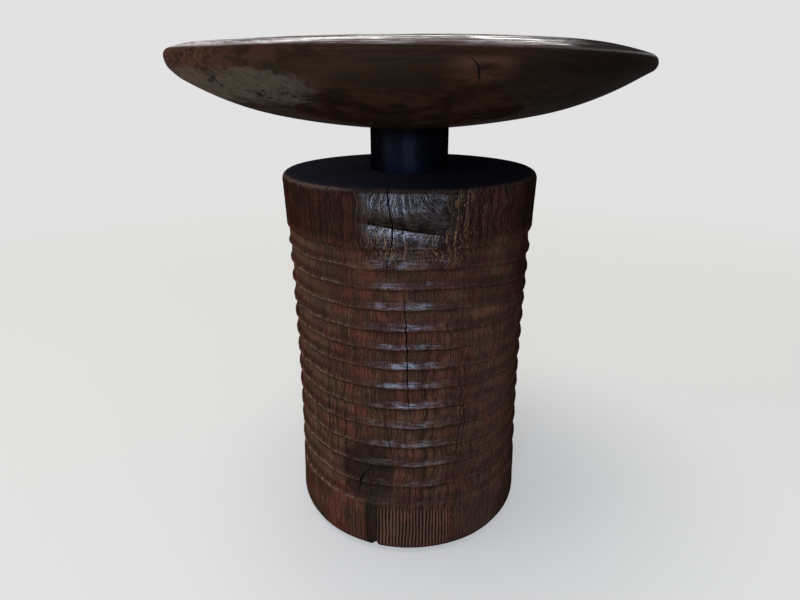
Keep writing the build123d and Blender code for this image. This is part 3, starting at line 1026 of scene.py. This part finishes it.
def disc_cutter(x, y, radius, low, high, finish, count=48):
    """An upright disc between two heights."""
    turn = np.linspace(0, 2 * math.pi, count, endpoint=False)
    ring = [(x + radius * math.cos(t), y + radius * math.sin(t)) for t in turn]
    points = [(a, b, z) for z in (low, high) for a, b in ring]
    faces = [tuple(range(count))[::-1], tuple(range(count, 2 * count))]
    faces += [(i, (i + 1) % count, count + (i + 1) % count, count + i) for i in range(count)]
    return to_object("pocket_cutter", points, faces, finish)


for line, depth in cracks:
    points, faces = wedge(line, depth)
    drum = cut(drum, to_object("crack_wedge", points, faces, crack_finish))

# the chip's corners: an angle, a distance from the axis and a height
chip = [(-22, 152, -3), (-11, 152, -3), (-15, 152, 18)]
chip += [(-20, 116, -3), (-12.5, 118, -3), (-16, 130, 9)]
points = [(r * math.sin(math.radians(a)), -r * math.cos(math.radians(a)), h) for a, r, h in chip]
faces = [(0, 1, 2), (3, 5, 4), (0, 3, 4, 1), (1, 4, 5, 2), (2, 5, 3, 0)]
# the chip's faces take the cracks' painted shade
drum = cut(drum, to_object("chip_cutter", points, faces, crack_finish))

glide_radius, pocket_radius, pocket_top = 12.0, 12.3, 5.0
glide_ring = (glide_reach - glide_radius) * math.sqrt(2)
for quarter in range(4):
    angle = math.radians(45 + 90 * quarter)
    x, y = glide_ring * math.cos(angle), glide_ring * math.sin(angle)
    drum = cut(drum, disc_cutter(x, y, pocket_radius, -1.0, pocket_top, log_finish))
print(len(cracks), "cracks cut,", len(drum.data.polygons), "faces")

# %% [markdown]
# ## Sharp arrises
#
# Smooth shading would round the crests away. Blender can mark every edge whose
# two faces meet at more than a chosen angle, and shade smoothly everywhere
# else. The facets inside a cove stay soft and the crests stay crisp.


# %% Shade and place the drum
def soften(piece, degrees):
    """Smooth shading, apart from edges sharper than an angle."""
    piece.data.polygons.foreach_set("use_smooth", [True] * len(piece.data.polygons))
    piece.data.set_sharp_from_angle(angle=math.radians(degrees))
    piece.data.update()


def settle(piece, slot_name, *nodes):
    """Joins a finished piece to the table and hides the frame's parts it replaces; slot_name is not
    used.
    """
    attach(piece, "root")
    if nodes:
        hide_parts(*nodes)
    triangles = sum(len(p.vertices) - 2 for p in piece.data.polygons)
    print(piece.name, "has", triangles, "triangles")


soften(drum, 32)
settle(drum, "drum_wood", "drum_body")

# %% [markdown]
# ## Turning the top
#
# A lathe leaves a form that is round but for a breath of wobble, where the slab
# dried after turning. The outline is the frame's own: flat above, a long
# shoulder, a tight round at the rim, and a belly in two sweeps. The rows are
# closest at the rim, where the light runs along it.

# %% Rows of the top
top_rim_radius = 248.0
top_base_z = 477.0
shoulder_drop = 18.4
shoulder_width = 71.0
rim_round = 8.2
rim_z = top_face_z - shoulder_drop


def turned(arm, angle):
    c, s = math.cos(angle), math.sin(angle)
    return np.array([c * arm[0] - s * arm[1], s * arm[0] + c * arm[1]])


def tangent_arc(start, stop, heading, count):
    """Points on the arc that leaves start with a heading and ends at stop."""
    start, stop, heading = np.array(start), np.array(stop), np.array(heading) / np.hypot(*heading)
    chord = stop - start
    side = np.array([-heading[1], heading[0]])
    radius = chord @ chord / (2 * (chord @ side))
    centre = start + side * radius
    sweep = 2 * math.atan2(chord @ side, chord @ heading)
    made = [tuple(centre + turned(start - centre, sweep * s)) for s in np.linspace(0, 1, count)]
    return made, turned(heading, sweep)


belly_depth = rim_z - top_base_z
belly_middle = (top_rim_radius * 0.59, top_base_z + belly_depth * 0.243)
rim_low = (top_rim_radius - 4.5, rim_z - 8.3)
belly, leaving = tangent_arc((0.0, top_base_z), belly_middle, (1.0, 0.0), 26)
flare, leaving = tangent_arc(belly_middle, rim_low, leaving, 30)
low_edge, leaving = tangent_arc(rim_low, (top_rim_radius, rim_z), leaving, 9)
# the shoulder's long arc meets the flat face and the rim's round without a corner
face_radius = top_rim_radius - shoulder_width
bow = shoulder_width**2 + shoulder_drop**2 - 2 * shoulder_width * rim_round
bow = bow / (shoulder_drop - rim_round) / 2
tilt = math.atan2(shoulder_width - rim_round, rim_z - (top_face_z - bow))
rim_high = (face_radius + bow * math.sin(tilt), top_face_z - bow + bow * math.cos(tilt))
high_edge, leaving = tangent_arc((top_rim_radius, rim_z), rim_high, (0.0, 1.0), 9)
shoulder, leaving = tangent_arc(rim_high, (face_radius, top_face_z), leaving, 22)
outline = [p for p in belly if p[0] > neck_seat_radius]
outline += flare[1:] + low_edge[1:] + high_edge[1:] + shoulder[1:]
outline += [(r, top_face_z) for r in (160, 138, 115)]
print(len(outline), "points in the outline, rim at", round(rim_z, 1), "mm")


# %% Build the top's mesh
def rise(angle):
    """Millimetres that drying has lifted the left of the shoulder and dropped the right."""
    return 7.0 * np.exp(-(((angle + 84) / 40) ** 2)) - 1.8 * np.exp(-(((angle - 82) / 34) ** 2))


def top_extras(radius, height, count):
    """How much a place belongs to the rim, and how worn it is."""
    angle, above = turns(count), height - rim_z
    on_rim = smooth_step(above, -22, -6) * (1 - smooth_step(above, 6, 16))
    patch = smooth_step(angle, -80, -62) * (1 - smooth_step(angle, -30, -12))
    low = smooth_step(above, -42, -26) * (1 - smooth_step(above, -14, -2))
    turn_line = rim_z + 8.7 - 4.8 * np.sin(np.radians(angle + 6)) - 0.8 * rise(angle)
    gloss = smooth_step(height, turn_line - 0.8, turn_line + 0.8)
    crease = np.exp(-(((height - turn_line - 0.4) / (0.7 + 0.5 * (angle < 0))) ** 2))
    crease = crease * (smooth_step(angle, 12, 30) + 1 - smooth_step(angle, -50, -30))
    made = dict(rim=np.full(count, float(on_rim)), gloss=gloss, crease=crease * (abs(angle) < 100))
    return dict(made, worn=patch * float(low))


def warp(radius, height, count):
    """How far a row of the top moves up or down with the rise."""
    below = 1 - smooth_step(rim_z - height, 0, 15)
    share = smooth_step(radius, 180, 236) if height >= rim_z else below
    return rise(turns(count)) * float(share) * (radius > neck_seat_radius + 100)


top_columns = 720
nut_radius, nut_z, plate_z = 15.4, 505.0, 487.0
pocket = [(0.0, nut_z, 1), (nut_radius, nut_z, 90), (nut_radius, plate_z, 90)]
pocket += [(28.0, plate_z, 180), (neck_seat_radius, plate_z, 360)]
face = [(r, top_face_z, count) for r, count in ((90, 360), (50, 180), (20, 90), (0, 1))]
top_rows = []
for radius, height, count in pocket + [(r, h, top_columns) for r, h in outline] + face:
    extras = top_extras(radius, height, count)
    z = np.minimum(height + warp(radius, height, count), top_face_z)
    top_rows.append((np.full(count, float(radius)), z, extras))
top_mesh = ring_mesh("turned_top", top_rows, looped=False)
print(len(top_rows), "rows,", len(top_mesh.vertices), "vertices")

# %% [markdown]
# ## Wobble, pits and a split
#
# The lathe's outline is too perfect. A second node tree takes a little away: a
# slow unevenness of up to half a millimetre from drying, faint rings of the
# turning tool, and deeper pits where the wood was punky, most of them in two
# clusters. It only ever cuts inwards, so the top never grows past its
# measured width.

# %% The tree that ages the top
top_inputs = {
    "Drying": 0.5,
    "Tool rings": 0.05,
    "Pit depth": 1.4,
    "Seed": 2.0,
    "Finish": top_finish,
}
tree, mesh, where, given = new_carving("turn_the_top", top_inputs)
x, y, z = split(where)
seed = given["Seed"]
slow = noise(where, 1 / 120, 2, 0.5, w=seed)
ring = noise(point(0, 0, z), 1 / 1.6, 1, 0.5, w=seed + 5)
pit = noise(point(x, y, z * 1.5), 1 / 6, 3, 0.65, w=seed + 9).between(0.50, 0.55)
cluster = oval(x, z, -157, 526, 12, 4.5).smaller(oval(x, z, -106, 515.5, 22, 4))
punky = pit * cluster.between(1.3, 0.5, 0.15, 1) * carried(tree, "worn").between(0, 0.5)
loss = slow * given["Drying"] + ring * given["Tool rings"] + punky * given["Pit depth"]
free = ((x * x + y * y) ** 0.5).between(60, 90)
push = scaled(add_node(tree, "GeometryNodeInputNormal", {}), loss * free * -MM)
aged = add_node(tree, "GeometryNodeSetPosition", {"Geometry": mesh, "Offset": push})
marks = {"pit": punky}
marks.update({name: carried(tree, name) for name in ("rim", "worn", "gloss", "crease")})
end_carving(keep(aged, marks), given["Finish"])
print("tree of the top has", len(tree.nodes), "nodes")

# %% Bake the top and split it
if signed_volume(top_mesh) < 0:
    top_mesh.flip_normals()
top = bake_tree("turned_top", top_mesh, tree, top_inputs)
below_rim = [p for p in outline if p[1] < rim_z]


def belly_radius(z):
    return float(np.interp(z, [p[1] for p in below_rim], [p[0] for p in below_rim]))


split_line = [(9.6, 541.5, 0.5), (10.7, 537.5, 1.6), (11.8, 532.5, 2.2)]
split_line += [(12.3, 528, 1.6), (13, 524, 0.3)]
split_depth = 9
points, faces = wedge(split_line, split_depth, belly_radius)
# the split's faces take the cracks' painted shade
top = cut(top, to_object("split_wedge", points, faces, crack_finish))
soften(top, 35)
settle(top, "top_wood", "table_top")

# %% [markdown]
# ## Finishes on the measured parts
#
# The neck, the hardware and the glides keep the exact solids of the frame. Only
# their materials change, so everything still fits as measured.


# %% Paint the frame's own parts
def paint(finish, *node_names):
    for name in node_names:
        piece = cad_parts[name]
        if not piece.material_slots:
            piece.data.materials.append(finish)
        for place in piece.material_slots:
            place.material = finish
    print(finish.name, "on", ", ".join(node_names))


paint(neck_finish, "neck_tube")
paint(steel_finish, "anchor_plate", "anchor_screws", "anchor_nut", "tie_rod")
paint(steel_finish, "locating_disc", "locating_screws", "clamp_plate", "clamp_nut")
paint(steel_finish, "lock_washer", "glide_nails")
paint(glide_finish, "floor_glides")

# %% [markdown]
# ## Floor and background
#
# The table stands on a wide sheet of pale paper. Far from the table the paper
# and the room have one flat tone, so no horizon shows. Near the table the paper
# takes light and shade like any matt surface, which keeps the soft shadow. The
# flat tone is given only to rays that come straight from the eye or from a
# mirror, so it adds no light to the wood. The paper holds a little less blue
# than red, because the front box is bluish.


# %% The paper floor
paper_tone = 0.76
paper_glow = 0.36
paper_colour = 0.46
paper_tint = (1.0, 0.975, 0.90)
paper_reach = 30.0


def seen_directly(tree):
    """1 for rays from the eye, from a gloss or through glass, and 0 for soft light."""
    path = tree.nodes.new("ShaderNodeLightPath")
    names = ("Is Camera Ray", "Is Glossy Ray", "Is Transmission Ray")
    eye_ray, gloss_ray, through_ray = (Field(tree, path.outputs[name]) for name in names)
    return eye_ray.larger(gloss_ray).larger(through_ray)


paper, tree, shader, where = new_finish("pale_paper")
x, y, z = split(where)
far = ((x * x + y * y) ** 0.5).between(800, 2400)
seen = seen_directly(tree)
tone = far * seen * -paper_colour + paper_colour
tinted = {place: tone * share for place, share in enumerate(paper_tint)}
dress(shader, add_node(tree, "ShaderNodeCombineColor", tinted), 1, 0)
feed(shader.inputs["Emission Color"], (1, 1, 1, 1))
glow = seen * (far * (paper_tone - paper_glow) + paper_glow)
feed(shader.inputs["Emission Strength"], glow)
corners = [(-1, -1), (1, -1), (1, 1), (-1, 1)]
sheet = bpy.data.meshes.new("paper_sheet")
sheet.from_pydata([(a * paper_reach, b * paper_reach, 0) for a, b in corners], [], [(0, 1, 2, 3)])
sheet.materials.append(paper)
floor = show("paper_sheet", sheet)
print("floor laid:", floor.name)

# %% [markdown]
# ## Light
#
# Dark waxed wood is seen mostly by what it mirrors. The room and a wide soft
# sun from above give a plain level. A tall soft box at the left models the
# round of the drum, and a bluish one high in front draws the thin gleams along
# the coves. A long strip behind the table shines along the shoulder of its top.


# %% Sun and soft boxes
def place_lamp(lamp, at, aim):
    """Puts a lamp at one place, in metres, and turns it to another."""
    made = show(lamp.name, lamp)
    made.location = at
    turn = np.array(aim, float) - np.array(at, float)
    tip = math.atan2(math.hypot(turn[0], turn[1]), -turn[2])
    made.rotation_euler = (tip, 0.0, math.atan2(turn[1], turn[0]) - math.pi / 2)


def soft_box(name, at, aim, size, brightness, colour):
    """A rectangle of light; brightness is how bright its face is, with paper white at 1."""
    lamp = bpy.data.lights.new(name, "AREA")
    lamp.shape = "RECTANGLE"
    lamp.size, lamp.size_y = size
    lamp.energy = brightness * math.pi * size[0] * size[1]
    lamp.color = colour
    place_lamp(lamp, at, aim)


sun = bpy.data.lights.new("soft_sun", "SUN")
sun.energy = 0.38 * math.pi
sun.angle = math.radians(34)
place_lamp(sun, (-0.5, -0.15, 3.0), (0, 0, 0))
soft_box("left_box", (-1.9, -0.6, 0.55), (0, 0, 0.3), (1.0, 0.9), 3.2, (1.0, 0.93, 0.85))
soft_box("front_box", (-0.12, -2.1, 0.8), (0, 0, 0.35), (1.4, 1.35), 5.6, (0.50, 0.66, 1.0))
soft_box("back_strip", (-0.2, 2.4, 1.55), (0, 0, 0.5), (2.4, 0.3), 3.2, (1.0, 0.98, 0.96))
print("lamps set:", len(bpy.data.lights))

# %% The room
room_light = 0.28

room = bpy.data.worlds.new("plain_room")
room.use_nodes = True
tree = room.node_tree
background = tree.nodes["Background"]
strength = seen_directly(tree) * (paper_tone - room_light) + room_light
feed(background.inputs["Color"], (1, 1, 1, 1))
feed(background.inputs["Strength"], strength)
scene = bpy.context.scene
scene.world = room
scene.view_settings.view_transform = "Standard"
print("room light", room_light)

# %% [markdown]
# ## Camera
#
# The eye is a little lower than the flat face and looks down at the drum, close
# enough for the foot to look narrower than the head.

# %% Camera
eye = bpy.data.cameras.new("eye")
eye.lens = 25.6
eye.sensor_width = 36.0
eye.clip_start = 0.02
camera = show("eye", eye)
camera.location = (0.0, -0.6646, 0.5279)
camera.rotation_euler = [math.radians(angle) for angle in (68.69, 0.15, 0.905)]
scene.camera = camera
print("camera at", tuple(round(c, 3) for c in camera.location))
